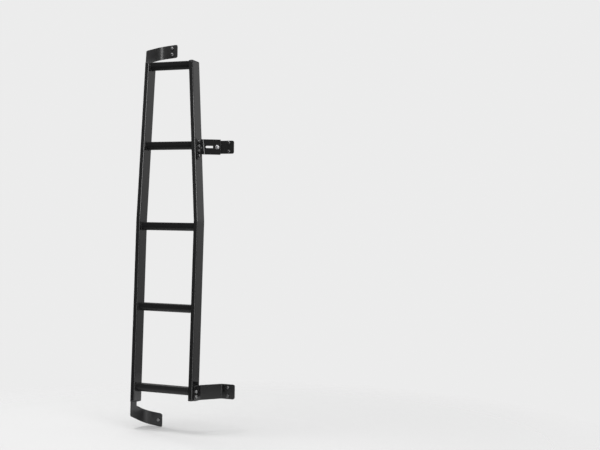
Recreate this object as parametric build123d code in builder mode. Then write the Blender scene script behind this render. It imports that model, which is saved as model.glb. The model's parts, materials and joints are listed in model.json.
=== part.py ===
from build123d import *
import os
from math import cos, radians, sin, tan

# Rear door ladder for a van: two bent tube rails, five welded rungs and four bolted
# brackets. Seen from behind the van, +X is to the right, +Y goes forward into the door
# and +Z is up. The origin is the middle of the lower hinge flange's door face.

# Rails: one rounded tube section, bent once above the third rung
rail_width = 20.0
rail_depth = 60.0
rail_wall = 2.0
rail_corner = 5.0
rail_spacing = 282.0
rail_reach = 97.0
rail_stand_off = 100.0
rail_bend_above_rung = 24.0
rail_bend_radius = 120.0
lower_lean = 1.7
upper_lean = 4.2
right_rail_lean = 5.65
left_foot_below_rung = 56.0
right_foot_below_rung = 31.0

# Rungs: ribbed tread on top, round belly below
rung_count = 5
bend_rung = 3
rung_pitch = 341.0
bottom_rung_height = 6.0
rung_depth = 38.0
rung_height = 34.0
rung_wall = 2.6
rung_shoulder = 4.0
groove_count = 5
groove_pitch = 5.2
groove_width = 2.2
groove_depth = 0.9

# Moulded caps in the rail ends
cap_height = 6.0
cap_bevel = 2.5
cap_plug_length = 9.0
cap_plug_wall = 2.0
cap_clearance = 0.2

# Bracket plate, folds and bolts
plate = 5.0
fold_radius = 6.0
corner_round = 8.0
bolt_hole = 8.4

# Door straps on the left rail
strap_inset = 14.0
strap_tab_width = 40.0
strap_bend_radius = 33.0
pad_reach = 85.0
top_hole_reach = 60.5
bottom_hole_reach = 68.5
strap_height = 57.0
strap_tab_lap = 30.0
heel_round = 10.0
strap_bolt_pitch = 28.0
strap_countersink = 16.4
countersink_angle = 90.0
top_pad_forward = 54.0
top_tab_length = 70.0
top_crown = 58.0
top_rise = 15.6
top_pad_rise = 4.4
top_bolt_below_head = 22.0
top_pad_bolt_pitch = 26.0
bottom_pad_forward = -20.0
bottom_tab_length = 80.0
bottom_fall = 21.5
bottom_pad_fall = 5.5
bottom_heel = 67.5
bottom_bolt_below_top = 18.0

# Lower hinge bracket: tab, forward plate and flange in one folded piece
lower_hinge_height = 62.0
lower_flange_width = 63.0
lower_tab_depth = 52.0
lower_tab_bolt_pitch = 20.0
lower_tab_bolt_drop = 2.0
lower_tab_bolt_back = 6.0
hinge_bolt_pitch = 36.0
fold_clearance = 3.0

# Upper hinge bracket: slotted arm on the rail, angled hinge plate bolted to it
upper_hinge_centre = 1025.0
upper_hinge_forward = 0.0
arm_height = 64.0
arm_angle = 30.0
arm_end_clearance = 1.5
arm_tab_inset = 7.0
arm_tab_depth = 32.0
arm_tab_drop = 23.0
arm_bolt_count = 4
arm_bolt_pitch = 20.0
slot_travel = 44.0
slot_width = 9.0
slot_end_margin = 14.0
hinge_plate_height = 55.0
hinge_plate_width = 60.0
hinge_hole_reach = 38.0
hinge_leg_margin = 18.0

os.makedirs("parts", exist_ok=True)


def finish(builder, name):
    """Label a finished piece and write it out."""
    builder.part.label = name
    export_step(builder.part, f"parts/{name}.step")


# Centre lines of the rails
rung_heights = [bottom_rung_height + rung_pitch * step for step in range(rung_count)]
bend_height = rung_heights[rung_count - bend_rung] + rail_bend_above_rung
left_foot_height = bottom_rung_height - left_foot_below_rung
right_foot_height = bottom_rung_height - right_foot_below_rung
head_height = rung_heights[-1] + rung_height / 2 - cap_height
right_x = -rail_reach
left_x = right_x - rail_spacing
lower_direction = Vector(0, tan(radians(lower_lean)), 1).normalized()
left_direction = Vector(0, tan(radians(upper_lean)), 1).normalized()
right_direction = Vector(-tan(radians(right_rail_lean)), tan(radians(upper_lean)), 1).normalized()
left_bend = Vector(left_x, -rail_stand_off, bend_height)
right_bend = Vector(right_x, -rail_stand_off, bend_height)
bend_axis = Axis((0, 0, 0), lower_direction.cross(right_direction))
bend_angle = lower_direction.get_angle(right_direction)
right_across = Vector(1, 0, 0).rotate(bend_axis, bend_angle)

# One plane per straight stretch: x across the rail, y through its depth, z along it
left_lower = Plane(left_bend, x_dir=(1, 0, 0), z_dir=lower_direction)
left_upper = Plane(left_bend, x_dir=(1, 0, 0), z_dir=left_direction)
right_lower = Plane(right_bend, x_dir=(1, 0, 0), z_dir=lower_direction)
right_upper = Plane(right_bend, x_dir=right_across, z_dir=right_direction)


def on_rail(stretch, height):
    """Point where a stretch's centre line passes a height."""
    return stretch.origin + stretch.z_dir * ((height - stretch.origin.Z) / stretch.z_dir.Z)


def rail_face(stretch, side, height, forward=0.0):
    """Plane on a rail's side face, looking out of the rail: side -1 is left, 1 is right."""
    on_face = on_rail(stretch, height) + stretch.x_dir * (side * rail_width / 2)
    return Plane(on_face + stretch.y_dir * forward, x_dir=stretch.y_dir, z_dir=stretch.x_dir * side)


def across_rail(stretch, height):
    """Plane square across a rail at a height."""
    return Plane(on_rail(stretch, height), x_dir=stretch.x_dir, z_dir=stretch.z_dir)


# Bolts that hold the brackets to the rails' outer faces
strap_tab_middle = strap_inset + strap_tab_width / 2 - rail_depth / 2
top_bolt_height = head_height - top_bolt_below_head
top_bolts = [
    rail_face(left_upper, -1, top_bolt_height - strap_bolt_pitch * step, strap_tab_middle)
    for step in range(2)
]
bottom_tab_top = left_foot_height + bottom_tab_length
bottom_bolt_height = bottom_tab_top - bottom_bolt_below_top
bottom_bolts = [
    rail_face(left_lower, -1, bottom_bolt_height - strap_bolt_pitch * step, strap_tab_middle)
    for step in range(2)
]
lower_bolt_low = -lower_tab_bolt_drop - lower_tab_bolt_pitch / 2
lower_hinge_bolts = [
    rail_face(right_lower, 1, lower_bolt_low + lower_tab_bolt_pitch * step, -lower_tab_bolt_back)
    for step in range(2)
]
arm_tab_middle = arm_tab_inset + arm_tab_depth / 2 - rail_depth / 2
arm_bolt_low = upper_hinge_centre - arm_tab_drop / 2 - arm_bolt_pitch * (arm_bolt_count - 1) / 2
upper_hinge_bolts = [
    rail_face(right_upper, 1, arm_bolt_low + arm_bolt_pitch * step, arm_tab_middle)
    for step in range(arm_bolt_count)
]


# Rails: the section swept along two straight runs joined by the bend
def rail_run(foot, lower, upper):
    """Foot, bend and head of a rail's centre line."""
    return on_rail(lower, foot), lower.origin, on_rail(upper, head_height)


with BuildPart() as left_rail:
    with BuildLine() as left_run:
        FilletPolyline(*rail_run(left_foot_height, left_lower, left_upper), radius=rail_bend_radius)
    with BuildSketch(across_rail(left_lower, left_foot_height)) as left_section:
        RectangleRounded(rail_width, rail_depth, rail_corner)
        offset(amount=-rail_wall, mode=Mode.SUBTRACT)
    sweep()
    with Locations(*top_bolts, *bottom_bolts):
        Hole(bolt_hole / 2, depth=2 * rail_wall)
finish(left_rail, "left_rail")

with BuildPart() as right_rail:
    with BuildLine() as right_run:
        FilletPolyline(*rail_run(right_foot_height, right_lower, right_upper), radius=rail_bend_radius)
    with BuildSketch(across_rail(right_lower, right_foot_height)) as right_section:
        RectangleRounded(rail_width, rail_depth, rail_corner)
        offset(amount=-rail_wall, mode=Mode.SUBTRACT)
    sweep()
    with Locations(*lower_hinge_bolts, *upper_hinge_bolts):
        Hole(bolt_hole / 2, depth=2 * rail_wall)
finish(right_rail, "right_rail")

# End caps: a bevelled crown over the tube's edge and a hollow plug inside it
cap_planes = {
    "left_rail_top_cap": across_rail(left_upper, head_height),
    "right_rail_top_cap": across_rail(right_upper, head_height),
    "left_rail_foot_cap": across_rail(left_lower, left_foot_height).rotated((180, 0, 0)),
    "right_rail_foot_cap": across_rail(right_lower, right_foot_height).rotated((180, 0, 0)),
}
plug_inset = rail_wall + cap_clearance
plug_bore_inset = plug_inset + cap_plug_wall
plug_corner = rail_corner - rail_wall
for cap_name, cap_plane in cap_planes.items():
    with BuildPart() as cap:
        with BuildSketch(cap_plane) as crown:
            RectangleRounded(rail_width, rail_depth, rail_corner)
        extrude(amount=cap_height)
        crown_face = cap.faces().sort_by(Axis(cap_plane.origin, cap_plane.z_dir))[-1]
        chamfer(crown_face.edges(), cap_bevel)
        with BuildSketch(cap_plane) as plug:
            Rectangle(rail_width - 2 * plug_inset, rail_depth - 2 * plug_inset)
            chamfer(plug.vertices(), plug_corner)
            bore_width = rail_width - 2 * plug_bore_inset
            Rectangle(bore_width, rail_depth - 2 * plug_bore_inset, mode=Mode.SUBTRACT)
        extrude(amount=-cap_plug_length)
    finish(cap, cap_name)

# Rungs: hollow, square to the left rail and mitred to the right one, numbered from the top
for rung_number in range(1, rung_count + 1):
    rung_centre = rung_heights[rung_count - rung_number]
    left_stretch = left_upper if rung_number < bend_rung else left_lower
    right_stretch = right_upper if rung_number < bend_rung else right_lower
    left_seat = rail_face(left_stretch, 1, rung_centre)
    right_seat = rail_face(right_stretch, -1, rung_centre)
    tread = rung_height / 2
    belly = rung_depth / 2 - rung_height / 2
    with BuildPart() as rung:
        with BuildSketch(Plane(left_seat.origin, x_dir=(0, 1, 0), z_dir=(1, 0, 0))) as rung_section:
            with BuildLine() as rung_outline:
                rear_side = Line((-rung_depth / 2, belly), (-rung_depth / 2, tread))
                tread_line = Line(rear_side @ 1, (rung_depth / 2, tread))
                front_side = Line(tread_line @ 1, (rung_depth / 2, belly))
                ThreePointArc(front_side @ 1, (0, -rung_height / 2), rear_side @ 0)
            make_face()
            fillet(rung_section.vertices().group_by(Axis.Y)[-1], rung_shoulder)
            offset(amount=-rung_wall, mode=Mode.SUBTRACT)
            with Locations((0, tread)):
                with GridLocations(groove_pitch, 0, groove_count, 1):
                    Rectangle(groove_width, 2 * groove_depth, mode=Mode.SUBTRACT)
        extrude(amount=rail_spacing)
        split(bisect_by=right_seat, keep=Keep.TOP)
    finish(rung, f"rung_{rung_number}")

# Door straps: a strip bent round to the pad in plan, its two edges sloping planes, and a tab
# that laps the strip and follows the rail
strap_x = left_x - rail_width / 2 - plate
pad_end_x = strap_x + pad_reach
top_hole_x = strap_x + top_hole_reach
bottom_hole_x = strap_x + bottom_hole_reach
strap_front = strap_inset + strap_tab_width


def from_rear(stretch, height, inset):
    """Forward place of a line set in from a rail's rear face, at a height."""
    return on_rail(stretch, height).Y - rail_depth / 2 / stretch.z_dir.Z + inset


def rear_edge(stretch):
    """Plane of a strap's rear edge, set in from the rail's rear face and leaning with it."""
    edge_origin = stretch.origin + stretch.y_dir * (strap_inset - rail_depth / 2)
    return Plane(edge_origin, x_dir=stretch.x_dir, z_dir=stretch.y_dir)


def facing_door(x, forward, height):
    """Plane on a door face, looking forward into the door."""
    return Plane((x, forward, height), x_dir=(1, 0, 0), z_dir=(0, 1, 0))


top_tab_foot = head_height - top_tab_length
top_crown_height = head_height + top_crown
top_tab_top = top_crown_height - strap_tab_lap
top_crown_y = from_rear(left_upper, top_crown_height, strap_inset)
top_slope = Vector(-tan(radians(top_pad_rise)), -tan(radians(top_rise)), 1)
top_high_edge = Plane((strap_x, top_crown_y, top_crown_height), z_dir=top_slope)
top_low_edge = Plane((strap_x, top_crown_y, top_crown_height - strap_height), z_dir=top_slope)
top_pad_rises = tan(radians(top_rise)) * (top_pad_forward - top_crown_y)
top_pad_centre = (
    top_crown_height - strap_height / 2 + top_pad_rises + tan(radians(top_pad_rise)) * top_hole_reach
)
with BuildPart() as top_door_bracket:
    with BuildSketch(Plane.XY.offset(top_tab_foot)) as top_plan:
        with BuildLine() as top_strip:
            FilletPolyline(
                (strap_x, from_rear(left_upper, top_tab_foot, 0)),
                (strap_x, top_pad_forward),
                (pad_end_x, top_pad_forward),
                radius=strap_bend_radius + plate,
            )
            offset(amount=plate, side=Side.RIGHT)
        make_face()
    extrude(amount=top_pad_centre + strap_height - top_tab_foot)
    split(bisect_by=rear_edge(left_upper), keep=Keep.TOP)
    split(bisect_by=top_low_edge, keep=Keep.TOP)
    split(bisect_by=top_high_edge, keep=Keep.BOTTOM)
    fillet(top_door_bracket.faces().sort_by(Axis.Y)[0].edges().sort_by(Axis.Z)[-1], corner_round)
    fillet(top_door_bracket.faces().sort_by(Axis.X)[-1].edges().sort_by(Axis.Z)[0::3], corner_round)
    with BuildSketch(Plane.YZ.offset(strap_x)) as top_tab:
        with BuildLine():
            Polyline(
                (from_rear(left_upper, top_tab_foot, strap_inset), top_tab_foot),
                (from_rear(left_upper, top_tab_foot, strap_front), top_tab_foot),
                (from_rear(left_upper, top_tab_top, strap_front), top_tab_top),
                (from_rear(left_upper, top_tab_top, strap_inset), top_tab_top),
                close=True,
            )
        make_face()
    extrude(amount=plate)
    fillet(top_door_bracket.edges().filter_by(Axis.X).group_by(Axis.Z)[0], corner_round)
    with Locations(*[bolt.offset(plate) for bolt in top_bolts]):
        CounterSinkHole(bolt_hole / 2, strap_countersink / 2, plate, countersink_angle)
    with Locations(facing_door(top_hole_x, top_pad_forward, top_pad_centre)):
        with GridLocations(0, top_pad_bolt_pitch, 1, 2):
            Hole(bolt_hole / 2, depth=plate)
finish(top_door_bracket, "top_door_bracket")

bottom_heel_height = left_foot_height - bottom_heel
bottom_tab_low = bottom_heel_height + strap_tab_lap
bottom_heel_y = from_rear(left_lower, bottom_heel_height, strap_inset)
bottom_slope = Vector(tan(radians(bottom_pad_fall)), tan(radians(bottom_fall)), 1)
bottom_low_edge = Plane((strap_x, bottom_heel_y, bottom_heel_height), z_dir=bottom_slope)
bottom_high_edge = Plane((strap_x, bottom_heel_y, bottom_heel_height + strap_height), z_dir=bottom_slope)
bottom_pad_falls = tan(radians(bottom_fall)) * (bottom_pad_forward - bottom_heel_y)
bottom_pad_centre = (
    bottom_heel_height + strap_height / 2 - bottom_pad_falls
    - tan(radians(bottom_pad_fall)) * bottom_hole_reach
)
bottom_plan_low = bottom_pad_centre - strap_height
with BuildPart() as bottom_door_bracket:
    with BuildSketch(Plane.XY.offset(bottom_plan_low)) as bottom_plan:
        with BuildLine() as bottom_strip:
            FilletPolyline(
                (strap_x, from_rear(left_lower, bottom_plan_low, 0)),
                (strap_x, bottom_pad_forward),
                (pad_end_x, bottom_pad_forward),
                radius=strap_bend_radius + plate,
            )
            offset(amount=plate, side=Side.RIGHT)
        make_face()
    extrude(amount=bottom_tab_top - bottom_plan_low)
    split(bisect_by=rear_edge(left_lower), keep=Keep.TOP)
    split(bisect_by=bottom_low_edge, keep=Keep.TOP)
    split(bisect_by=bottom_high_edge, keep=Keep.BOTTOM)
    fillet(bottom_door_bracket.faces().sort_by(Axis.Y)[0].edges().sort_by(Axis.Z)[0], heel_round)
    fillet(bottom_door_bracket.faces().sort_by(Axis.X)[-1].edges().sort_by(Axis.Z)[0::3], corner_round)
    with BuildSketch(Plane.YZ.offset(strap_x)) as bottom_tab:
        with BuildLine():
            Polyline(
                (from_rear(left_lower, bottom_tab_top, strap_inset), bottom_tab_top),
                (from_rear(left_lower, bottom_tab_top, strap_front), bottom_tab_top),
                (from_rear(left_lower, bottom_tab_low, strap_front), bottom_tab_low),
                (from_rear(left_lower, bottom_tab_low, strap_inset), bottom_tab_low),
                close=True,
            )
        make_face()
    extrude(amount=plate)
    fillet(bottom_door_bracket.edges().filter_by(Axis.X).group_by(Axis.Z)[-1], corner_round)
    with Locations(*[bolt.offset(plate) for bolt in bottom_bolts]):
        CounterSinkHole(bolt_hole / 2, strap_countersink / 2, plate, countersink_angle)
    with Locations(facing_door(bottom_hole_x, bottom_pad_forward, bottom_pad_centre)):
        Hole(bolt_hole / 2, depth=plate)
finish(bottom_door_bracket, "bottom_door_bracket")

# Lower hinge bracket: one plate folded twice in plan
lower_outer_x = right_x + rail_width / 2
lower_fold_y = on_rail(right_lower, 0).Y + rail_depth / 2 + fold_clearance
with BuildPart() as lower_hinge_bracket:
    with BuildSketch(Plane.XY.offset(-lower_hinge_height / 2)) as lower_plan:
        with BuildLine() as lower_strip:
            FilletPolyline(
                (lower_outer_x, lower_fold_y - lower_tab_depth),
                (lower_outer_x, lower_fold_y),
                (-lower_flange_width / 2, 0),
                (lower_flange_width / 2, 0),
                radius=fold_radius + plate,
            )
            offset(amount=plate, side=Side.RIGHT)
        make_face()
    extrude(amount=lower_hinge_height)
    fillet(lower_hinge_bracket.edges().filter_by(Axis.X).group_by(Axis.Y)[0], corner_round)
    fillet(lower_hinge_bracket.edges().filter_by(Axis.Y).group_by(Axis.X)[-1], corner_round)
    with Locations(*[bolt.offset(plate) for bolt in lower_hinge_bolts]):
        Hole(bolt_hole / 2, depth=plate)
    with Locations(facing_door(0, 0, 0)):
        with GridLocations(0, hinge_bolt_pitch, 1, 2):
            Hole(bolt_hole / 2, depth=plate)
finish(lower_hinge_bracket, "lower_hinge_bracket")

# Upper hinge arm: a plate folded on the skew line where the leaning rail's face meets the
# upright arm, cut to its outline seen from the side
arm_along = Vector(cos(radians(arm_angle)), sin(radians(arm_angle)), 0)
arm_outward = Vector(sin(radians(arm_angle)), -cos(radians(arm_angle)), 0)
fold_line = arm_outward.cross(right_across).normalized()
rail_front = rail_face(right_upper, 1, upper_hinge_centre, rail_depth / 2 + fold_clearance).origin
arm_corner = rail_front + fold_line * ((upper_hinge_centre - rail_front.Z) / fold_line.Z)
arm_back = Plane(arm_corner, x_dir=arm_along, z_dir=arm_outward)
arm_fold = Plane(arm_corner, x_dir=right_across, z_dir=fold_line)
arm_turn = radians(right_across.get_angle(arm_outward))
leg_line = arm_corner - arm_outward * plate
leg_length = (upper_hinge_forward - leg_line.Y) / arm_along.Y
arm_length = leg_length - (fold_radius + plate) * tan(radians(arm_angle / 2)) - arm_end_clearance
arm_run = arm_length + arm_height
arm_end = Plane(arm_corner + arm_along * arm_length, z_dir=arm_along)
arm_top = upper_hinge_centre + arm_height / 2
arm_bottom = upper_hinge_centre - arm_height / 2
arm_tab_bottom = arm_bottom - arm_tab_drop
arm_tab_front = arm_tab_inset + arm_tab_depth
clamp_bolt_reach = arm_length - slot_end_margin
slot_middle = clamp_bolt_reach - slot_travel / 2
with BuildPart() as upper_hinge_arm:
    with BuildSketch(arm_fold) as arm_profile:
        with BuildLine() as arm_strip:
            FilletPolyline(
                (0, -rail_depth),
                (0, 0),
                (arm_run * sin(arm_turn), arm_run * cos(arm_turn)),
                radius=fold_radius + plate,
            )
            offset(amount=plate, side=Side.RIGHT)
        make_face()
    extrude(amount=arm_height + arm_tab_drop, both=True)
    split(bisect_by=arm_end, keep=Keep.BOTTOM)
    with BuildSketch(Plane.YZ.offset(arm_corner.X)) as arm_outline:
        with BuildLine():
            Polyline(
                (from_rear(right_upper, arm_top, arm_tab_inset), arm_top),
                (upper_hinge_forward, arm_top),
                (upper_hinge_forward, arm_bottom),
                (from_rear(right_upper, arm_bottom, arm_tab_front), arm_bottom),
                (from_rear(right_upper, arm_tab_bottom, arm_tab_front), arm_tab_bottom),
                (from_rear(right_upper, arm_tab_bottom, arm_tab_inset), arm_tab_bottom),
                close=True,
            )
        make_face()
        fillet(arm_outline.vertices().sort_by(Axis.X)[:4], corner_round)
    extrude(amount=arm_run, both=True, mode=Mode.INTERSECT)
    with BuildSketch(arm_back) as arm_slot:
        with Locations((slot_middle, 0)):
            SlotCenterToCenter(slot_travel, slot_width)
    extrude(amount=plate, mode=Mode.SUBTRACT)
    with Locations(*[bolt.offset(plate) for bolt in upper_hinge_bolts]):
        Hole(bolt_hole / 2, depth=plate)
finish(upper_hinge_arm, "upper_hinge_arm")

# Upper hinge plate: a leg behind the arm's slot and a flange square to the door
leg_start = leg_line + arm_along * (clamp_bolt_reach - hinge_leg_margin)
leg_fold = leg_line + arm_along * leg_length
flange_end_x = leg_fold.X + hinge_plate_width
flange_hole_x = leg_fold.X + hinge_hole_reach
with BuildPart() as upper_hinge_plate:
    with BuildSketch(Plane.XY.offset(upper_hinge_centre - hinge_plate_height / 2)) as hinge_plan:
        with BuildLine() as hinge_strip:
            FilletPolyline(
                (leg_start.X, leg_start.Y),
                (leg_fold.X, leg_fold.Y),
                (flange_end_x, upper_hinge_forward),
                radius=fold_radius + plate,
            )
            offset(amount=plate, side=Side.RIGHT)
        make_face()
    extrude(amount=hinge_plate_height)
    fillet(upper_hinge_plate.edges().filter_by(Axis.Y).group_by(Axis.X)[-1], corner_round)
    fillet(upper_hinge_plate.edges().filter_by(Axis(leg_start, arm_outward)), corner_round)
    with Locations(arm_back):
        with Locations((clamp_bolt_reach, 0)):
            Hole(slot_width / 2, depth=plate)
    with Locations(facing_door(flange_hole_x, upper_hinge_forward, upper_hinge_centre)):
        with GridLocations(0, hinge_bolt_pitch, 1, 2):
            Hole(bolt_hole / 2, depth=plate)
finish(upper_hinge_plate, "upper_hinge_plate")
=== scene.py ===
# %% [markdown]
# # A narrow rear ladder
# The solids of the ladder come in as a fixed frame: rails, caps, rungs and folded brackets, all in
# metres, with +X to the right, +Y forward, the way one faces on the rungs, and +Z up. This lesson
# dresses that frame. It gives every piece its finish, adds the bolts, screws and weld beads, and
# sets up a plain studio round it.

# %% Load the frame
import json
from math import atan2, cos, pi, radians, sin, sqrt, tan

import bmesh
import bpy
from mathutils import Matrix, Vector


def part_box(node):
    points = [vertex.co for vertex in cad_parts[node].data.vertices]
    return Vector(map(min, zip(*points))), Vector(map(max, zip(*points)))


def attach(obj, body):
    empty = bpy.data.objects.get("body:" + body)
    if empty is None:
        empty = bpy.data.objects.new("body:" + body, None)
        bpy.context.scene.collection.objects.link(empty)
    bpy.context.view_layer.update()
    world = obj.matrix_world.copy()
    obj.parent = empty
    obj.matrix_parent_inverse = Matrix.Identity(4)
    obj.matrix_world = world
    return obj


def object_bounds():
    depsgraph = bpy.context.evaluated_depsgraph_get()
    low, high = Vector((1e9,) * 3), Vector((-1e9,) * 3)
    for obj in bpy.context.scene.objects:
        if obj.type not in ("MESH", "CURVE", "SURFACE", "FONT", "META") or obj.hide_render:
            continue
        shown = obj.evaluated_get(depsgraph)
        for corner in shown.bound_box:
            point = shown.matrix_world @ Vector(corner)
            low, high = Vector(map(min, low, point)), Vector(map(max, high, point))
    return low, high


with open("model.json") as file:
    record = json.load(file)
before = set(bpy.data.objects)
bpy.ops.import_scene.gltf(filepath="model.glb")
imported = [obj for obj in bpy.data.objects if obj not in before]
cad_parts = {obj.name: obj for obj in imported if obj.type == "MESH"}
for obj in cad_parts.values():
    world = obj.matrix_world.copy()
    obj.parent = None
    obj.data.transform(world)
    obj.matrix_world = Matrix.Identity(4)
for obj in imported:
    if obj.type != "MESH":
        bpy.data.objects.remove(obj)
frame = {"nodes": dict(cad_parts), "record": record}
solid_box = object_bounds()
nodes = frame["nodes"]
mounts = {mount["name"]: mount for mount in frame["record"]["mounts"]}
print("frame pieces:", len(nodes), "box:", [tuple(round(v, 3) for v in corner) for corner in solid_box])

# %% [markdown]
# ## Node helpers
# All the finishes are node materials built from noise on Object coordinates, so they need no image
# and keep their scale in metres on every piece. A few small helpers keep the node code short: one
# adds a node and sets its plain values, and the others make a noise, map a value to a range, stretch
# a noise over a range, join two values, tint a grey and start a material.

# %% Helpers for node materials
NOISE_LOW = 0.3
NOISE_HIGH = 0.7
NEUTRAL = (1.0, 1.0, 1.0)


def add_node(tree, kind, **values):
    """Add a node and set its properties, or its inputs where a property has no such name."""
    node = tree.nodes.new(kind)
    for key, value in values.items():
        if hasattr(node, key):
            setattr(node, key, value)
        else:
            node.inputs[key.replace("_", " ")].default_value = value
    return node


def add_noise(tree, coords, scale, detail=2.0, roughness=0.5):
    """Noise at so many features a metre."""
    noise = add_node(tree, "ShaderNodeTexNoise", Scale=scale, Detail=detail, Roughness=roughness)
    tree.links.new(coords.outputs["Object"], noise.inputs["Vector"])
    return noise.outputs["Fac"]


def map_range(tree, value, low, high, to_low, to_high):
    """Map a value from one range to another, held at the ends."""
    node = add_node(tree, "ShaderNodeMapRange", From_Min=low, From_Max=high, To_Min=to_low, To_Max=to_high)
    tree.links.new(value, node.inputs["Value"])
    return node.outputs["Result"]


def spread(tree, noise, to_low, to_high):
    """Stretch a noise, most of which lies about its middle, over a range."""
    return map_range(tree, noise, NOISE_LOW, NOISE_HIGH, to_low, to_high)


def add_math(tree, operation, first, second, **values):
    """Join two values by a sum, a product or their larger one."""
    node = add_node(tree, "ShaderNodeMath", operation=operation, **values)
    tree.links.new(first, node.inputs[0])
    tree.links.new(second, node.inputs[1])
    return node.outputs["Value"]


def tinted(grey, tint):
    """A grey with a slight tint, as a colour."""
    return (*(grey * part for part in tint), 1.0)


def start_finish(name):
    """A new material with its shader and Object coordinates."""
    material = bpy.data.materials.new(name)
    material.use_nodes = True
    tree = material.node_tree
    tree.nodes.clear()
    output = add_node(tree, "ShaderNodeOutputMaterial")
    shader = add_node(tree, "ShaderNodeBsdfPrincipled")
    tree.links.new(shader.outputs["BSDF"], output.inputs["Surface"])
    coords = add_node(tree, "ShaderNodeTexCoord")
    return material, tree, shader, coords


print("node helpers ready")

# %% [markdown]
# ## Black powder coat: colour and dust
# The ladder is powder coated black. A flat dark colour would look like a cut-out. On the real coat
# the black drifts a little from place to place, and dust settles in patches where a face looks up.
# So the colour is a mix of two near blacks by a broad noise, with dust mixed in by the way the
# surface faces.

# %% Colour and dust of the coat
DRIFT_SCALE = 7.0
DARK_TINT = (0.7, 0.7, 0.75)
LIGHT_TINT = (1.3, 1.3, 1.32)
DUST_COLOUR = (0.16, 0.15, 0.135, 1.0)
DUST_SCALE = 55.0
DUST_SLOPE = 0.35
THIN_DUST = 0.25


def coat_dust(tree, coords, dust):
    """How dusty each place is: in patches, and only where it faces up."""
    facing = add_node(tree, "ShaderNodeNewGeometry")
    upward = add_node(tree, "ShaderNodeSeparateXYZ")
    tree.links.new(facing.outputs["Normal"], upward.inputs["Vector"])
    settled = map_range(tree, upward.outputs["Z"], low=DUST_SLOPE, high=1.0, to_low=0.0, to_high=dust)
    specks = add_noise(tree, coords, DUST_SCALE, detail=4.0, roughness=0.65)
    patches = map_range(tree, specks, low=0.4, high=0.75, to_low=THIN_DUST, to_high=1.0)
    return add_math(tree, "MULTIPLY", settled, patches)


def coat_colour(tree, coords, tone, dusty):
    """The coat's drifting black under its dust."""
    shade = add_node(tree, "ShaderNodeMix", data_type="RGBA")
    shade.inputs["A"].default_value = tinted(tone, DARK_TINT)
    shade.inputs["B"].default_value = tinted(tone, LIGHT_TINT)
    tree.links.new(add_noise(tree, coords, DRIFT_SCALE, detail=3.0), shade.inputs["Factor"])
    colour = add_node(tree, "ShaderNodeMix", data_type="RGBA")
    colour.inputs["B"].default_value = DUST_COLOUR
    tree.links.new(dusty, colour.inputs["Factor"])
    tree.links.new(shade.outputs["Result"], colour.inputs["A"])
    return colour.outputs["Result"]


print("dust colour:", DUST_COLOUR[:3])

# %% [markdown]
# ## Black powder coat: gloss and skin
# Close up such a coat has an orange peel about a millimetre across, and its gloss drifts too, so the
# roughness and the bump each get a noise of their own. A Bevel node rounds the shading of the edges,
# as the thick coat does, so that they catch the light: by under a millimetre on cut plate, and by
# more on the tubes, whose corners are drawn round. The coat is glossy on the tubes and the hinge
# brackets, dry on the rungs and satin on the two straps.

# %% Powder coat finish
GLOSS_SCALE = 24.0
PEEL_SCALE = 750.0
PEEL_HEIGHT = 0.0004
EDGE_SAMPLES = 16
PLATE_EDGE = 0.0009


def powder_coat(name, tone, smooth, rough, shine, top, blur, dust, edge, peel):
    """Black coat: its grey, range of roughness, shine, top gloss and its blur, dust, edge and peel."""
    material, tree, shader, coords = start_finish(name)
    link = tree.links.new
    dusty = coat_dust(tree, coords, dust)
    link(coat_colour(tree, coords, tone, dusty), shader.inputs["Base Color"])

    clouds = add_noise(tree, coords, GLOSS_SCALE, detail=5.0, roughness=0.6)
    gloss = spread(tree, clouds, smooth, rough)
    link(add_math(tree, "ADD", gloss, dusty, use_clamp=True), shader.inputs["Roughness"])

    rounded = add_node(tree, "ShaderNodeBevel", samples=EDGE_SAMPLES, Radius=edge)
    bumps = add_node(tree, "ShaderNodeBump", Strength=peel, Distance=PEEL_HEIGHT)
    link(add_noise(tree, coords, PEEL_SCALE, detail=1.0), bumps.inputs["Height"])
    link(rounded.outputs["Normal"], bumps.inputs["Normal"])
    link(bumps.outputs["Normal"], shader.inputs["Normal"])
    shader.inputs["Specular IOR Level"].default_value = shine
    shader.inputs["Coat Weight"].default_value = top
    shader.inputs["Coat Roughness"].default_value = blur
    return material


rail_coat = powder_coat("rail_powder_coat", tone=0.007, smooth=0.06, rough=0.14, shine=0.5,
                        top=0.35, blur=0.05, dust=0.06, edge=0.003, peel=0.02)
rung_coat = powder_coat("rung_powder_coat", tone=0.009, smooth=0.34, rough=0.46, shine=0.28,
                        top=0.08, blur=0.20, dust=0.12, edge=0.002, peel=0.10)
bracket_coat = powder_coat("bracket_powder_coat", tone=0.008, smooth=0.13, rough=0.21, shine=0.5,
                           top=0.35, blur=0.10, dust=0.06, edge=PLATE_EDGE, peel=0.06)
# The straps' grey is paler than the rest of the coat: painted sheen, standing in for the broad light that
# their satin coat picks up.
strap_coat_with_painted_sheen = powder_coat("strap_powder_coat_painted_sheen", tone=0.018, smooth=0.38, rough=0.50, shine=0.5,
                         top=0.35, blur=0.30, dust=0.06, edge=PLATE_EDGE, peel=0.14)
print("powder coats:", rail_coat.name, rung_coat.name, bracket_coat.name, strap_coat_with_painted_sheen.name)

# %% [markdown]
# ## Moulded caps
# The tube ends are closed by moulded black plugs with a fine leathery grain, duller than the coat
# beside them. The cells of a Voronoi texture give that grain, and a noise wears its gloss unevenly.

# %% Cap plastic
CAP_GREY = 0.011
CAP_TINT = (1.0, 1.0, 1.1)
WEAR_SCALE = 90.0
GRAIN_SCALE = 900.0
GRAIN_HEIGHT = 0.0003
CAP_EDGE_SAMPLES = 4


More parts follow.
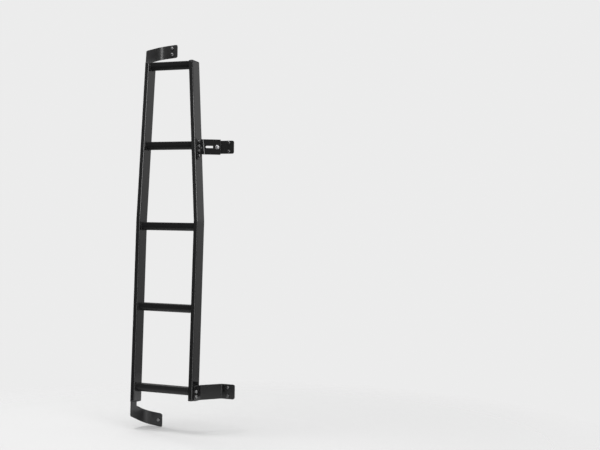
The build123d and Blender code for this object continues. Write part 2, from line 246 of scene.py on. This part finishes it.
def cap_plastic(name, smooth, rough, grain):
    """Moulded black plastic: its range of roughness and the strength of its grain."""
    material, tree, shader, coords = start_finish(name)
    link = tree.links.new
    shader.inputs["Base Color"].default_value = tinted(CAP_GREY, CAP_TINT)
    clouds = add_noise(tree, coords, WEAR_SCALE, detail=4.0, roughness=0.6)
    link(spread(tree, clouds, smooth, rough), shader.inputs["Roughness"])
    cells = add_node(tree, "ShaderNodeTexVoronoi", Scale=GRAIN_SCALE)
    link(coords.outputs["Object"], cells.inputs["Vector"])
    rounded = add_node(tree, "ShaderNodeBevel", samples=CAP_EDGE_SAMPLES, Radius=PLATE_EDGE)
    bumps = add_node(tree, "ShaderNodeBump", Strength=grain, Distance=GRAIN_HEIGHT)
    link(cells.outputs["Distance"], bumps.inputs["Height"])
    link(rounded.outputs["Normal"], bumps.inputs["Normal"])
    link(bumps.outputs["Normal"], shader.inputs["Normal"])
    return material


end_cap_plastic = cap_plastic("cap_moulded_plastic", smooth=0.42, rough=0.62, grain=0.25)
print("cap finish:", end_cap_plastic.name)

# %% [markdown]
# ## Four steels
# The fasteners are steel in four platings: bright on the clamp in the slot, dull zinc on the pads
# and the lower tab, a darker grey on the hinge flanges and the slotted arm, and black on the flush
# screws and most washers. All are metal whose gloss is broken by handling marks, so one function
# makes them from two greys and a range of roughness.

# %% Plated steels
DARK_STEEL_TINT = (1.0, 1.0, 1.03)
PLATING_SCALE = 260.0
TOUCH_SCALE = 700.0
MARKS_SCALE = 2200.0
MARKS_STRENGTH = 0.08
MARKS_HEIGHT = 0.0002


def plated_steel(name, dark, light, smooth, rough):
    """Plated fastener steel between two greys, with handling marks."""
    material, tree, shader, coords = start_finish(name)
    link = tree.links.new
    shader.inputs["Metallic"].default_value = 1.0
    shade = add_node(tree, "ShaderNodeMix", data_type="RGBA")
    shade.inputs["A"].default_value = tinted(dark, DARK_STEEL_TINT)
    shade.inputs["B"].default_value = tinted(light, NEUTRAL)
    link(add_noise(tree, coords, PLATING_SCALE, detail=3.0), shade.inputs["Factor"])
    link(shade.outputs["Result"], shader.inputs["Base Color"])
    touched = add_noise(tree, coords, TOUCH_SCALE, detail=5.0, roughness=0.7)
    link(spread(tree, touched, smooth, rough), shader.inputs["Roughness"])
    marks = add_node(tree, "ShaderNodeBump", Strength=MARKS_STRENGTH, Distance=MARKS_HEIGHT)
    link(add_noise(tree, coords, MARKS_SCALE), marks.inputs["Height"])
    link(marks.outputs["Normal"], shader.inputs["Normal"])
    return material


bright_steel = plated_steel("bolt_bright_steel", dark=0.50, light=0.68, smooth=0.20, rough=0.40)
dull_steel = plated_steel("bolt_dull_zinc", dark=0.26, light=0.40, smooth=0.26, rough=0.46)
grey_steel = plated_steel("bolt_grey_zinc", dark=0.13, light=0.22, smooth=0.24, rough=0.42)
black_steel = plated_steel("bolt_black_zinc", dark=0.035, light=0.075, smooth=0.22, rough=0.38)
print("steels:", bright_steel.name, dull_steel.name, grey_steel.name, black_steel.name)

# %% [markdown]
# ## Dressing the frame
# The frame's pieces keep their shapes and only change their finish. Each is named for what it is, so
# the name picks the finish, and a new rung or cap would be dressed by itself.

# %% Dress the frame's pieces
def finish_for(node_name):
    """The finish that a piece of the frame wears."""
    if node_name.endswith("_cap"):
        return end_cap_plastic
    if node_name.startswith("rung_"):
        return rung_coat
    if node_name.endswith("_rail"):
        return rail_coat
    if node_name.endswith("_door_bracket"):
        return strap_coat_with_painted_sheen
    return bracket_coat


for node_name, node in nodes.items():
    node.data.materials.clear()
    node.data.materials.append(finish_for(node_name))
print("dressed:", ", ".join(sorted(nodes)))

# %% [markdown]
# ## Turning and placing small pieces
# A bolt is best made as it is made in the workshop: a profile turned about its axis for the washer
# and the collar, a drawn disc for the head and the shank, and a six-sided bar for the nut. Each
# piece is modelled about its own axis, with its seat at zero and its head up, and then carried to
# its hole by one matrix that goes into the mesh.

# %% Helpers for small pieces
TURN_STEPS = 40
MERGE_DISTANCE = 1e-6
SHARP_ANGLE = radians(32)


def turn(bm, profile):
    """Spin a closed profile of (radius, height) points once round the axis."""
    corners = [bm.verts.new((radius, 0.0, height)) for radius, height in profile]
    edges = [bm.edges.new((a, b)) for a, b in zip(corners, corners[1:] + corners[:1])]
    bmesh.ops.spin(bm, geom=corners + edges, cent=(0, 0, 0), axis=(0, 0, 1), angle=2 * pi,
                   steps=TURN_STEPS, use_merge=True)


def carry(seat, direction, turned=0.0):
    """Matrix that takes a piece from its own axis to its seat and direction."""
    facing = Vector((0, 0, 1)).rotation_difference(Vector(direction))
    return Matrix.Translation(seat) @ facing.to_matrix().to_4x4() @ Matrix.Rotation(turned, 4, "Z")


def fix_piece(mesh, name):
    """Make a mesh a piece of the ladder."""
    piece = bpy.data.objects.new(name, mesh)
    bpy.context.scene.collection.objects.link(piece)
    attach(piece, "root")
    return piece


def finish_fastener(bm, name, place, steel):
    """Close a fastener's mesh, put its place in it and fix it to the ladder."""
    bmesh.ops.remove_doubles(bm, verts=bm.verts[:], dist=MERGE_DISTANCE)
    bmesh.ops.recalc_face_normals(bm, faces=bm.faces[:])
    bm.transform(place)
    mesh = bpy.data.meshes.new(name)
    bm.to_mesh(mesh)
    bm.free()
    mesh.polygons.foreach_set("use_smooth", [True] * len(mesh.polygons))
    mesh.set_sharp_from_angle(angle=SHARP_ANGLE)
    mesh.materials.append(steel)
    return fix_piece(mesh, name)


print("workshop helpers ready")

# %% [markdown]
# ## Discs, shanks and sockets
# A head and its shank are drawn out of one disc, so that they stay one closed mesh: each step copies
# a face along the axis and widens or narrows it. The socket is the same step turned round. The flat
# on top is inset, its points move onto a hexagon, and that is pushed down.

# %% Draw faces and press sockets
THREAD_R = 0.004
SOFT_EDGE = 0.0003
SOCKET_R = 0.0029
SOCKET_DEEP = 0.0025
HEX_STEP = radians(60)


def draw_face(bm, face, rise, widen=1.0):
    """Draw a face along the axis and widen it about the axis; the moved face is returned."""
    drawn = bmesh.ops.extrude_discrete_faces(bm, faces=[face])["faces"][0]
    bmesh.ops.scale(bm, verts=drawn.verts[:], vec=(widen, widen, 1))
    bmesh.ops.translate(bm, verts=drawn.verts[:], vec=(0, 0, rise))
    return drawn


def press_socket(bm, face, radius):
    """Press a hexagon socket into a round face."""
    bmesh.ops.inset_individual(bm, faces=[face], thickness=radius - SOCKET_R)
    for vert in face.verts:
        angle = atan2(vert.co.y, vert.co.x)
        reach = SOCKET_R * cos(HEX_STEP / 2) / cos(angle % HEX_STEP - HEX_STEP / 2)
        vert.co.x, vert.co.y = reach * cos(angle), reach * sin(angle)
    draw_face(bm, face, -SOCKET_DEEP)


def start_disc(bm, radius, height):
    """Two-sided start of a drawn piece: the upper face, then the lower one."""
    disc = bmesh.ops.create_circle(bm, cap_ends=True, segments=TURN_STEPS, radius=radius,
                                   matrix=Matrix.Translation((0, 0, height)))
    upper = disc["verts"][0].link_faces[0]
    lower = bmesh.ops.duplicate(bm, geom=[upper])["geom"]
    return upper, next(item for item in lower if isinstance(item, bmesh.types.BMFace))


def draw_shank(bm, face, length):
    """Draw a shank of the thread's radius down from a face, with a softened end."""
    shank = draw_face(bm, face, SOFT_EDGE - length)
    draw_face(bm, shank, -SOFT_EDGE, (THREAD_R - SOFT_EDGE) / THREAD_R)


print("socket", SOCKET_R * 2000, "mm over its corners")

# %% [markdown]
# ## Button heads and washers
# The ladder is held by button-head bolts: low domes with a hexagon socket, which do not catch on
# clothing. The disc is drawn up in rings that follow the dome's round, as the head is forged, and
# the flat left on top takes the socket.

# %% Button bolt and washer
HEAD_R = 0.007
HEAD_HEIGHT = 0.0044
HEAD_RIM = 0.0006
HEAD_FLAT_R = 0.0037
DOME_STEPS = 5
WASHER_R = 0.0082
WASHER_THICK = 0.0016
WASHER_CLEARANCE = 0.0002


def button_bolt(name, place, grip, steel):
    """Button-head bolt on top of its washer, its shank reaching down from zero by the grip."""
    bm = bmesh.new()
    upper, lower = start_disc(bm, HEAD_R, WASHER_THICK)
    radius, height = HEAD_R, 0.0
    for step in range(DOME_STEPS + 1):
        angle = pi / 2 * step / DOME_STEPS
        ring = HEAD_FLAT_R + (HEAD_R - HEAD_FLAT_R) * cos(angle)
        top = HEAD_RIM + (HEAD_HEIGHT - HEAD_RIM) * sin(angle)
        upper = draw_face(bm, upper, top - height, ring / radius)
        radius, height = ring, top
    press_socket(bm, upper, HEAD_FLAT_R)
    lower = draw_face(bm, lower, 0.0, THREAD_R / HEAD_R)
    draw_shank(bm, lower, WASHER_THICK + grip)
    return finish_fastener(bm, name, place, steel)


def washer(name, place, outer, steel):
    """Washer with softened edges, its underside at zero."""
    bm = bmesh.new()
    inner, top = THREAD_R + WASHER_CLEARANCE, WASHER_THICK
    turn(bm, [(inner, 0.0), (outer - SOFT_EDGE, 0.0), (outer, SOFT_EDGE), (outer, top - SOFT_EDGE),
              (outer - SOFT_EDGE, top), (inner, top)])
    return finish_fastener(bm, name, place, steel)


print("button head", HEAD_R * 2000, "mm across")

# %% [markdown]
# ## Bolts through the pads and flanges
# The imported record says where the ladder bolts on: each mount gives the middle of its holes on the
# plate's mounting face and their spacing. The heads sit on the other side of the plate, so each bolt
# starts one plate thickness back and its shank stops just short of the mounting face. The bottom
# pad's single hole is stated in the middle of its plate, so the mount of that pad's face gives the
# face. The pads have dull bolts, and the hinge flanges have darker ones.

# %% Pad and flange bolts
PLATE = 0.005
FLUSH = 0.0002
SOCKET_TURN = 0.5
BACKWARD = (0, -1, 0)

hole_groups = {
    "top_pad": ("top_pad_bolts", dull_steel),
    "bottom_pad": ("bottom_pad_bolt", dull_steel),
    "upper_flange": ("upper_hinge_bolts", grey_steel),
    "lower_flange": ("lower_hinge_bolts", grey_steel),
}
mounting_faces = {"bottom_pad": mounts["bottom_pad_face"]["pos_m"][1]}
for plate_name, (mount_name, steel) in hole_groups.items():
    mount = mounts[mount_name]
    centre = Vector(mount["pos_m"])
    centre.y = mounting_faces.get(plate_name, centre.y)
    rise = mount["dims"].get("spacing_y_mm", 0.0) / 2000.0
    offsets = (rise, -rise) if rise else (0.0,)
    for number, offset in enumerate(offsets, 1):
        place = carry(centre + Vector((0, -PLATE, offset)), BACKWARD, number * SOCKET_TURN)
        washer(f"{plate_name}_washer_{number}", place, WASHER_R, black_steel)
        button_bolt(f"{plate_name}_bolt_{number}", place, PLATE - FLUSH, steel)
    print(plate_name, "bolts round", [round(v, 4) for v in centre])

# %% [markdown]
# ## The rails' side walls
# The other bolts, the screws and the welds all sit on the rails' flat side walls. Each rail is two
# straight stretches that meet in one bend. Both lean forward, and the upper stretch of the right one
# leans in too. So a stretch is kept as its bend and three directions, across, through and along the
# rail, and one function gives the point on a wall at any height.

# %% Rail stretches
RAIL_WIDTH = 0.020
LEFT_RAIL = -0.379
RIGHT_RAIL = -0.097
BEND_STAND_OFF = 0.100
BEND_HEIGHT = 0.712
LOWER_LEAN = radians(1.7)
UPPER_LEAN = radians(4.2)
RIGHT_LEAN = radians(5.65)
TO_LEFT, TO_RIGHT = -1, 1


def rail_stretch(middle, lean, lean_in=0.0):
    """A straight stretch of a rail: its bend, then the directions across, through and along it."""
    upright = Vector((0, tan(LOWER_LEAN), 1)).normalized()
    along = Vector((-tan(lean_in), tan(lean), 1)).normalized()
    across = upright.rotation_difference(along) @ Vector((1, 0, 0))
    return Vector((middle, -BEND_STAND_OFF, BEND_HEIGHT)), across, along.cross(across), along


def on_wall(stretch, side, height, forward=0.0, lift=0.0):
    """Point on a rail's side wall by a height of its centre line, and the way out of the wall."""
    bend, across, through, along = stretch
    centre = bend + along * ((height - bend.z) / along.z)
    outward = across * side
    return centre + through * forward + outward * (RAIL_WIDTH / 2 + lift), outward


left_lower = rail_stretch(LEFT_RAIL, LOWER_LEAN)
left_upper = rail_stretch(LEFT_RAIL, UPPER_LEAN)
right_lower = rail_stretch(RIGHT_RAIL, LOWER_LEAN)
right_upper = rail_stretch(RIGHT_RAIL, UPPER_LEAN, RIGHT_LEAN)
print("upper right wall looks along", [round(v, 4) for v in right_upper[1]])

# %% [markdown]
# ## Bolts into the right rail
# Two bolts hold the lower hinge bracket and four hold the slotted arm, all through the rail's outer
# wall. The upper stretch of that rail leans in two directions, so its bolts share the lean of the
# wall they go through.

# %% Rail bolts
RAIL_GRIP = 0.011
TAB_PITCH = 0.020

tab_bolts = {
    "lower_tab": {"stretch": right_lower, "steel": dull_steel, "count": 2, "top": 0.008, "back": 0.006},
    "arm_tab": {"stretch": right_upper, "steel": grey_steel, "count": 4, "top": 1.0435, "back": 0.007},
}
for tab_name, tab in tab_bolts.items():
    for number in range(1, tab["count"] + 1):
        height = tab["top"] - TAB_PITCH * (number - 1)
        seat, outward = on_wall(tab["stretch"], TO_RIGHT, height, -tab["back"], PLATE)
        place = carry(seat, outward, number * SOCKET_TURN)
        washer(f"{tab_name}_washer_{number}", place, WASHER_R, black_steel)
        button_bolt(f"{tab_name}_bolt_{number}", place, RAIL_GRIP, tab["steel"])
    print(tab_name, "bolts:", tab["count"])

# %% [markdown]
# ## Flush screws in the straps
# The straps sit on the ladder's outer side, where even a low head would stand out past the plate.
# Their screws are countersunk: a cone that fills the countersink, with the same pressed socket in
# its face.

# %% Strap screws
SCREW_HEAD_R = 0.0079
SCREW_PITCH = 0.028
SCREW_FORWARD = 0.004


def flush_screw(name, place):
    """Countersunk socket screw with its face just under the plate."""
    bm = bmesh.new()
    cone = SCREW_HEAD_R - THREAD_R
    upper, lower = start_disc(bm, SCREW_HEAD_R, -FLUSH)
    press_socket(bm, upper, SCREW_HEAD_R)
    lower = draw_face(bm, lower, -cone, THREAD_R / SCREW_HEAD_R)
    draw_shank(bm, lower, RAIL_GRIP - cone)
    return finish_fastener(bm, name, place, black_steel)


strap_screws = {"top_strap_screw": (left_upper, 1.359), "bottom_strap_screw": (left_lower, 0.012)}
for screw_name, (stretch, top) in strap_screws.items():
    for number in (1, 2):
        height = top - SCREW_PITCH * (number - 1)
        seat, outward = on_wall(stretch, TO_LEFT, height, SCREW_FORWARD, PLATE)
        flush_screw(f"{screw_name}_{number}", carry(seat, outward, number * SOCKET_TURN))
    print(screw_name, "from height", top)

# %% [markdown]
# ## Locking nut
# The nut is a six-sided bar with its end turned to a cone: the bar's upper edges are divided, its
# top is inset and drawn to a circle, and the outer points drop with their distance from the axis,
# which gives the true curved corners. A round collar on top holds the locking ring.

# %% Locking nut
NUT_FLATS = 0.013
NUT_HEIGHT = 0.0065
NUT_INSET = 0.00026
NUT_ROUND = 0.00611
CONE_ANGLE = radians(30)
FLAT_CUTS = 7
COLLAR_R = 0.00546
COLLAR_HEIGHT = 0.002
COLLAR_SIDE = 0.0012
COLLAR_LAP = 0.0004
COLLAR_ROUND = 0.0008


def hexagon(bm, flats, height):
    """Six-sided bar standing on zero, with its top turned to a cone."""
    disc = bmesh.ops.create_circle(bm, cap_ends=True, segments=6, radius=flats / sqrt(3))
    lower = disc["verts"][0].link_faces[0]
    bmesh.ops.duplicate(bm, geom=[lower])
    top = draw_face(bm, lower, height)
    bmesh.ops.subdivide_edges(bm, edges=top.edges[:], cuts=FLAT_CUTS)
    outer = top.verts[:]
    bmesh.ops.inset_individual(bm, faces=[top], thickness=NUT_INSET)
    for vert in top.verts:
        vert.co.x, vert.co.y = vert.co.xy.normalized() * NUT_ROUND
    for vert in outer:
        vert.co.z = height - (vert.co.xy.length - NUT_ROUND) * tan(CONE_ANGLE)


def locking_nut(name, place, steel):
    """Hexagon nut with a round locking collar, its seat at zero."""
    bm = bmesh.new()
    hexagon(bm, NUT_FLATS, NUT_HEIGHT)
    lap, top = NUT_HEIGHT - COLLAR_LAP, NUT_HEIGHT + COLLAR_HEIGHT
    turn(bm, [(THREAD_R, lap), (COLLAR_R, lap), (COLLAR_R, NUT_HEIGHT + COLLAR_SIDE),
              (COLLAR_R - COLLAR_ROUND, top), (THREAD_R, top)])
    return finish_fastener(bm, name, place, steel)


print("nut", NUT_FLATS * 1000, "mm across its flats")

# %% [markdown]
# ## The clamp bolt in the slot
# The slotted arm slides on the hinge plate behind it until one bolt clamps the two. It has a bright
# button head and washer over the slot on the seen side, and a washer and the locking nut behind. The
# arm's own box says where it ends, and the clamp sits near that end.

# %% Clamp bolt
ARM_ANGLE = radians(30)
CLAMP_FROM_END = 0.014
CLAMP_WASHER_R = 0.009
CLAMP_STANDS_OUT = 0.0015

arm_along = Vector((cos(ARM_ANGLE), sin(ARM_ANGLE), 0))
arm_outward = Vector((sin(ARM_ANGLE), -cos(ARM_ANGLE), 0))
arm_high = Vector(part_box("upper_hinge_arm")[1])
hinge_height = mounts["upper_hinge_bolts"]["pos_m"][2]
arm_end = Vector((arm_high.x - PLATE * arm_outward.x, arm_high.y, hinge_height))
clamp_seat = arm_end - arm_along * CLAMP_FROM_END

behind = PLATE + WASHER_THICK
clamp_grip = PLATE + behind + NUT_HEIGHT + COLLAR_HEIGHT + CLAMP_STANDS_OUT
front = carry(clamp_seat + arm_outward * PLATE, arm_outward, SOCKET_TURN)
washer("clamp_washer_front", front, CLAMP_WASHER_R, bright_steel)
button_bolt("clamp_bolt", front, clamp_grip, bright_steel)
washer("clamp_washer_back", carry(clamp_seat - arm_outward * PLATE, -arm_outward), WASHER_R, dull_steel)
locking_nut("clamp_nut", carry(clamp_seat - arm_outward * behind, -arm_outward), bright_steel)
print("clamp bolt at", [round(v, 4) for v in clamp_seat])

# %% [markdown]
# ## A rung's outline
# The weld beads follow the outline of the rungs: a half round below, two short upright sides and a
# flat tread with rounded shoulders. Each run of the outline is kept as its length and a function of
# the way along it, so that points can be set at even steps all the way round.

# %% Outline of a rung
RUNG_SHOULDER = 0.004


def rung_outline(depth, height, spacing):
    """Points round a rung's section, as (forward, up) from its middle, so far apart."""
    half, tread, round_r = depth / 2, height / 2, RUNG_SHOULDER
    belly = half - tread
    flat, shoulder = half - round_r, tread - round_r
    side, corner = shoulder - belly, pi / 2 * round_r
    runs = [
        (pi * half, lambda s: (half * cos(s / half), belly - half * sin(s / half))),
        (side, lambda s: (-half, belly + s)),
        (corner, lambda s: (-flat - round_r * cos(s / round_r), shoulder + round_r * sin(s / round_r))),
        (2 * flat, lambda s: (s - flat, tread)),
        (corner, lambda s: (flat + round_r * sin(s / round_r), shoulder + round_r * cos(s / round_r))),
        (side, lambda s: (half, shoulder - s)),
    ]
    length = sum(run for run, _ in runs)
    count = round(length / spacing)
    points = []
    for index in range(count):
        along = length * index / count
        for run, place in runs:
            if along <= run:
                points.append(place(along))
                break
            along -= run
    return points


print("rung shoulders", RUNG_SHOULDER * 1000, "mm round")

# %% [markdown]
# ## Weld beads
# Each rung is welded to both rails, and the coat runs over the bead. A bead is a round cord laid
# along the rung's outline in the plane of the rail's wall, thick and thin by turns where the welder
# paused. A closed curve with a round bevel does this: each point's radius gives the ripple. It
# becomes a mesh once it is drawn.

# %% Weld bead
BEAD_R = 0.0027
BEAD_SUNK = 0.00032
BEAD_RIPPLE = 0.06
BEAD_ROUNDNESS = 3
POINTS_PER_RIPPLE = 6


def weld_bead(name, outline, middle, wall, ripple_start):
    """A rippled bead where a rung meets a rail's wall."""
    line = bpy.data.curves.new(name, "CURVE")
    line.dimensions = "3D"
    line.bevel_depth = BEAD_R
    line.bevel_resolution = BEAD_ROUNDNESS
    spline = line.splines.new("POLY")
    spline.points.add(len(outline) - 1)
    spline.use_cyclic_u = True
    for index, (forward, up) in enumerate(outline):
        inward = -(forward * wall.y + up * wall.z) / wall.x
        point = middle + Vector((inward, forward, up)) - wall * BEAD_SUNK
        wave = cos(2 * pi * (index / POINTS_PER_RIPPLE + ripple_start))
        spline.points[index].co = (*point, 1.0)
        spline.points[index].radius = 1.0 - BEAD_RIPPLE * (0.5 - 0.5 * wave)
    drawn = bpy.data.objects.new(name + "_line", line)
    bpy.context.scene.collection.objects.link(drawn)
    bpy.context.view_layer.update()
    mesh = bpy.data.meshes.new_from_object(drawn.evaluated_get(bpy.context.evaluated_depsgraph_get()))
    bpy.data.objects.remove(drawn)
    mesh.name = name
    mesh.polygons.foreach_set("use_smooth", [True] * len(mesh.polygons))
    mesh.materials.clear()
    mesh.materials.append(rung_coat)
    return fix_piece(mesh, name)


print("bead", BEAD_R * 2000, "mm thick")

# %% [markdown]
# ## Welding the rungs
# A rung's own box gives its section and its height, and the rails' walls at that height say where it
# ends. Both beads of a rung share its outline, and from rung to rung the ripples start elsewhere, so
# that no two rungs look copied.

# %% Welds round the rung ends
RUNG_COUNT = 5
BEAD_PITCH = 0.0022
RIPPLE_SHIFT = 0.23

for number in range(1, RUNG_COUNT + 1):
    rung_low, rung_high = (Vector(corner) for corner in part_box(f"rung_{number}"))
    rung_size = rung_high - rung_low
    height = (rung_low.z + rung_high.z) / 2
    left_rail, right_rail = (left_upper, right_upper) if height > BEND_HEIGHT else (left_lower, right_lower)
    outline = rung_outline(rung_size.y, rung_size.z, BEAD_PITCH / POINTS_PER_RIPPLE)
    for side_name, ends_on in (("left", on_wall(left_rail, TO_RIGHT, height)),
                               ("right", on_wall(right_rail, TO_LEFT, height))):
        bead = weld_bead(f"rung_{number}_{side_name}_weld", outline, *ends_on, number * RIPPLE_SHIFT)
    print("rung", number, "welds at height", round(height, 3), "faces each:", len(bead.data.polygons))

# %% [markdown]
# ## Studio floor
# The floor is pale and plain, level with the ladder's lowest point, and it fades out into a pale
# surround so that no horizon crosses the picture. The fade is a mix with a transparent shader that
# grows with the distance from the frame's origin, near the ladder's foot.

# %% Floor
PALE = 0.80
FLOOR_R = 6.0
FLOOR_STEPS = 96
FLOOR_GAP = 0.0005
FLOOR_ROUGH = 0.75
FADE_FROM = 0.5
FADE_TO = 1.7
ladder_low, ladder_high = (Vector(corner) for corner in solid_box)
ladder_middle = (ladder_low + ladder_high) / 2

floor_mesh = bpy.data.meshes.new("studio_floor")
bm = bmesh.new()
bmesh.ops.create_circle(bm, cap_ends=True, segments=FLOOR_STEPS, radius=FLOOR_R,
                        matrix=Matrix.Translation((ladder_middle.x, 0.0, ladder_low.z - FLOOR_GAP)))
bm.to_mesh(floor_mesh)
bm.free()
floor = bpy.data.objects.new("studio_floor", floor_mesh)
bpy.context.scene.collection.objects.link(floor)

floor_paint, tree, shader, coords = start_finish("studio_floor_paint")
shader.inputs["Base Color"].default_value = tinted(PALE, NEUTRAL)
shader.inputs["Roughness"].default_value = FLOOR_ROUGH
clear = add_node(tree, "ShaderNodeBsdfTransparent")
fade = add_node(tree, "ShaderNodeMixShader")
reach = add_node(tree, "ShaderNodeVectorMath", operation="LENGTH")
tree.links.new(coords.outputs["Object"], reach.inputs[0])
faded = map_range(tree, reach.outputs["Value"], low=FADE_FROM, high=FADE_TO, to_low=0.0, to_high=1.0)
tree.links.new(faded, fade.inputs["Fac"])
tree.links.new(shader.outputs["BSDF"], fade.inputs[1])
tree.links.new(clear.outputs["BSDF"], fade.inputs[2])
output = next(node for node in tree.nodes if node.type == "OUTPUT_MATERIAL")
tree.links.new(fade.outputs["Shader"], output.inputs["Surface"])
floor_mesh.materials.append(floor_paint)
print("floor at", round(ladder_low.z, 4))

# %% [markdown]
# ## Surround
# Gloss black shows what stands round it more than its own colour. So the surround that the gloss
# sees is bright beyond the ladder and overhead, which lights up the side faces, and dim behind the
# camera and below, which keeps the rear faces black. The Light Path node tells the rays apart: the
# camera sees one even pale tone, and soft light gets a level of its own.

# %% Surround
SEEN_LEVEL = 0.84
SOFT_LEVEL = 0.55
BEHIND_LEVEL, BEYOND_LEVEL = 0.36, 1.0
BELOW_LEVEL, ABOVE_LEVEL = 0.20, 0.62

world = bpy.data.worlds.new("studio_surround")
bpy.context.scene.world = world
world.use_nodes = True
tree = world.node_tree
tree.nodes.clear()
output = add_node(tree, "ShaderNodeOutputWorld")
coords = add_node(tree, "ShaderNodeTexCoord")
parts = add_node(tree, "ShaderNodeSeparateXYZ")
tree.links.new(coords.outputs["Generated"], parts.inputs["Vector"])
ahead = map_range(tree, parts.outputs["Y"], low=-0.3, high=0.6, to_low=BEHIND_LEVEL, to_high=BEYOND_LEVEL)
above = map_range(tree, parts.outputs["Z"], low=-0.18, high=0.18, to_low=BELOW_LEVEL, to_high=ABOVE_LEVEL)
mirrored = add_math(tree, "MULTIPLY", ahead, above)

path = add_node(tree, "ShaderNodeLightPath")
gloss_or_soft = add_node(tree, "ShaderNodeMix", data_type="FLOAT")
gloss_or_soft.inputs["A"].default_value = SOFT_LEVEL
tree.links.new(path.outputs["Is Glossy Ray"], gloss_or_soft.inputs["Factor"])
tree.links.new(mirrored, gloss_or_soft.inputs["B"])
straight = add_math(tree, "MAXIMUM", path.outputs["Is Camera Ray"], path.outputs["Is Transmission Ray"])
level = add_node(tree, "ShaderNodeMix", data_type="FLOAT")
level.inputs["B"].default_value = SEEN_LEVEL
tree.links.new(straight, level.inputs["Factor"])
tree.links.new(gloss_or_soft.outputs["Result"], level.inputs["A"])
surround = add_node(tree, "ShaderNodeBackground", Color=tinted(1.0, NEUTRAL))
tree.links.new(level.outputs["Result"], surround.inputs["Strength"])
tree.links.new(surround.outputs["Background"], output.inputs["Surface"])
print("surround seen at", SEEN_LEVEL, "and soft light at", SOFT_LEVEL)

# %% [markdown]
# ## Lamps
# Four soft boxes light the ladder. The one overhead gives the plain light and the shadow on the
# floor. The tall one stands to the right of the camera. Beside it hangs a panel that only gloss can
# see: it draws the thin bright line along the round corners of the upper rails, and it is high, so
# that the flat faces mirror it to few places where a camera would stand. The last one, on the far
# left, separates the left rail from the surround.

# %% Lamps
def soft_box(name, place, width, height, power):
    """A rectangular soft box that looks at the middle of the ladder."""
    data = bpy.data.lights.new(name, "AREA")
    data.shape = "RECTANGLE"
    data.size = width
    data.size_y = height
    data.energy = power
    lamp = bpy.data.objects.new(name, data)
    lamp.location = place
    lamp.rotation_euler = (ladder_middle - Vector(place)).to_track_quat("-Z", "Y").to_euler()
    bpy.context.scene.collection.objects.link(lamp)
    return lamp


soft_box("overhead_box", place=(-0.6, -0.8, 4.2), width=2.4, height=2.4, power=95.0)
soft_box("tall_box", place=(3.15, -2.23, 1.1), width=1.2, height=3.4, power=50.0)
edge_panel = soft_box("edge_panel", place=(3.33, -1.93, 1.85), width=1.8, height=1.5, power=42.0)
edge_panel.visible_diffuse = False
soft_box("far_left_box", place=(-3.2, 1.2, 1.2), width=0.6, height=2.4, power=20.0)
print("lamps:", len(bpy.data.lights))

# %% [markdown]
# ## Camera
# The camera stands where the photograph was taken from, level with the middle rung and well to the
# right of the ladder. A longer lens from the same place keeps the perspective and lets the ladder
# fill the picture's height.

# %% Camera
CAMERA_PLACE = Vector((2.475, -4.472, 0.709))
CAMERA_TURN = (89.94, -0.97, 25.72)
LENS_MM = 73.0
SENSOR_MM = 36.0

camera_data = bpy.data.cameras.new("ladder_camera")
camera_data.lens = LENS_MM
camera_data.sensor_width = SENSOR_MM
camera = bpy.data.objects.new("ladder_camera", camera_data)
camera.location = CAMERA_PLACE
camera.rotation_euler = [radians(turned) for turned in CAMERA_TURN]
bpy.context.scene.collection.objects.link(camera)
bpy.context.scene.camera = camera
bpy.context.scene.view_settings.view_transform = "Standard"
print("camera", round((CAMERA_PLACE - ladder_middle).length, 3), "m away")
